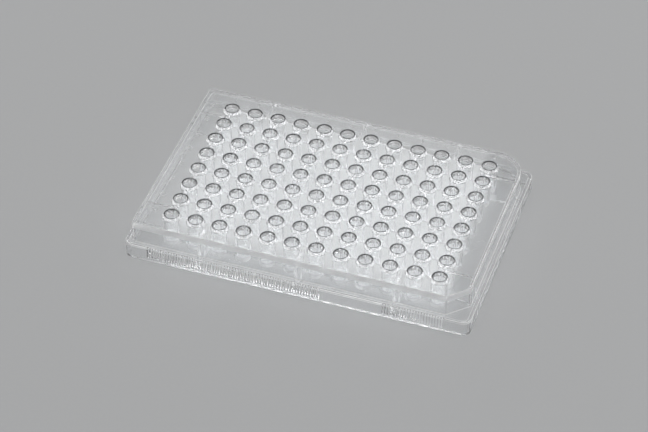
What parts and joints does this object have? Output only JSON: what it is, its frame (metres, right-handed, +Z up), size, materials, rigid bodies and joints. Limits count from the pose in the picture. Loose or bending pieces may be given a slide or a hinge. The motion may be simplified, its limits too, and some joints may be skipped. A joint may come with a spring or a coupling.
{
  "type": "well plate",
  "caption": "Clear one-piece laboratory plate: a grid of small round wells in a raised deck, on a wider flange with grip grooves and keyed corners.",
  "frame": {"origin": "on the surface that the plate stands on, under the centre of its footprint", "axes": "+Z up, the way the wells open; +X along the plate's length, from column 1 towards column 12; +Y from row H towards row A"},
  "size_m": [0.1278, 0.0854, 0.0143],
  "materials": {
    "clear_polystyrene": "gloss"
  },
  "bodies": {
    "root": {"well_plate": "clear_polystyrene"}
  },
  "joints": []
}
